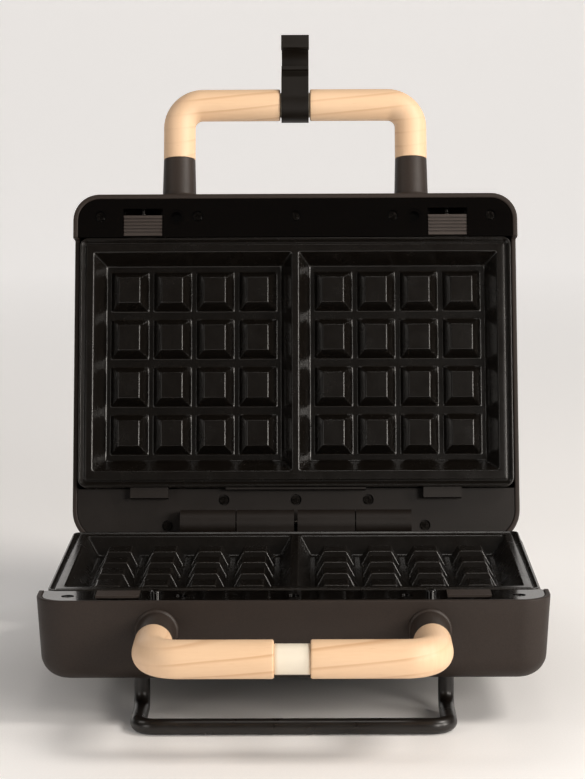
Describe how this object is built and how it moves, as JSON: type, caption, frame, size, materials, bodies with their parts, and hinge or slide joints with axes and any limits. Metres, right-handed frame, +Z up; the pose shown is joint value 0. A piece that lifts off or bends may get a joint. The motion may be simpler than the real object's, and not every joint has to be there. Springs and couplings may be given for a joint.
{
  "type": "waffle maker",
  "caption": "Electric waffle maker with a hinged lid, removable waffle plates, bail handles with wooden grips, a latching clip and wire stands, standing open.",
  "frame": {"origin": "centre of the whole object's footprint, on the surface that the stands rest on, with the lid open as stored", "axes": "+X to the user's right when facing the front handle, +Y from the front handle towards the hinge, +Z up"},
  "size_m": [0.28, 0.4048, 0.369],
  "materials": {
    "housing": "matt soft-touch black with a fine mould texture",
    "strip": "high gloss black",
    "cover": "satin black moulding",
    "nonstick": "die-cast, with a black non-stick coat",
    "wood": "pale maple, satin lacquer",
    "sleeve": "cream, satin",
    "collar": "matt black",
    "button": "satin black with worn ribs",
    "clip": "satin black nylon",
    "stand": "satin black powder coat on steel wire",
    "screw": "blackened steel",
    "steel": "bright drawn steel",
    "spring_steel": "spring wire",
    "heater": "heat-darkened tube",
    "reflector": "bright rolled sheet",
    "rubber": "matt black",
    "thermostat": "pressed can",
    "terminal": "off-white moulding",
    "fuse": "unglazed",
    "board": "laminate",
    "red_lens": "tinted, clear",
    "green_lens": "tinted, clear"
  },
  "bodies": {
    "base": {"base_housing": "housing", "base_control_strip": "strip", "base_rear_cover": "cover", "base_hinge_bracket": "cover", "base_plate_catches": "cover", "base_rear_screws": "screw", "hinge_pin": "screw", "locating_pins": "strip", "cord_gland": "rubber", "front_stand": "stand", "rear_stand": "stand", "stand_screws": "steel", "thermostat": "thermostat", "terminal_block": "terminal", "base_plate": "nonstick", "base_heating_element": "heater", "base_heater_clips": "steel", "base_reflector": "reflector", "base_strip_screws": "screw", "base_handle_core": "steel", "base_handle_nuts": "steel", "base_handle_collars": "collar", "base_handle_sleeve": "sleeve", "base_left_grip": "wood", "base_right_grip": "wood", "base_left_button_spring": "spring_steel", "base_right_button_spring": "spring_steel"},
    "lid": {"lid_housing": "housing", "lid_control_strip": "strip", "lid_rear_cover": "cover", "lid_hinge_bracket": "cover", "lid_plate_catches": "cover", "lid_rear_screws": "screw", "thermal_fuse": "fuse", "power_lens": "red_lens", "ready_lens": "green_lens", "lamp_board": "board", "lid_plate": "nonstick", "lid_heating_element": "heater", "lid_heater_clips": "steel", "lid_reflector": "reflector", "lid_strip_screws": "screw", "lid_handle_core": "steel", "lid_handle_nuts": "steel", "lid_handle_collars": "collar", "lid_handle_sleeve": "sleeve", "lid_left_grip": "wood", "lid_right_grip": "wood", "lid_left_button_spring": "spring_steel", "lid_right_button_spring": "spring_steel"},
    "clip": {"handle_clip": "clip"},
    "base_left_slider": {"base_left_button": "button"},
    "base_right_slider": {"base_right_button": "button"},
    "lid_left_slider": {"lid_left_button": "button"},
    "lid_right_slider": {"lid_right_button": "button"}
  },
  "joints": [
    {"name": "lid_hinge", "type": "hinge", "parent": "base", "child": "lid", "pos_m": [0, 0.07815, 0.0703], "axis": [1, 0, 0], "range_deg": [0, 106.7]},
    {"name": "clip_pivot", "type": "hinge", "parent": "lid", "child": "clip", "pos_m": [0, 0.17175, 0.32453], "axis": [1, 0, 0], "range_deg": [-70, 108.3]},
    {"name": "base_left_release", "type": "slide", "parent": "base", "child": "base_left_slider", "axis": [0, -1, 0], "range_m": [0, 0.004], "stiffness_N_per_m": 250, "springref_m": -0.002, "deforming": ["base_left_button_spring"]},
    {"name": "base_right_release", "type": "slide", "parent": "base", "child": "base_right_slider", "axis": [0, -1, 0], "range_m": [0, 0.004], "stiffness_N_per_m": 250, "springref_m": -0.002, "deforming": ["base_right_button_spring"]},
    {"name": "lid_left_release", "type": "slide", "parent": "lid", "child": "lid_left_slider", "axis": [0, 0.2874, 0.9578], "range_m": [0, 0.004], "stiffness_N_per_m": 250, "springref_m": -0.002, "deforming": ["lid_left_button_spring"]},
    {"name": "lid_right_release", "type": "slide", "parent": "lid", "child": "lid_right_slider", "axis": [0, 0.2874, 0.9578], "range_m": [0, 0.004], "stiffness_N_per_m": 250, "springref_m": -0.002, "deforming": ["lid_right_button_spring"]}
  ]
}
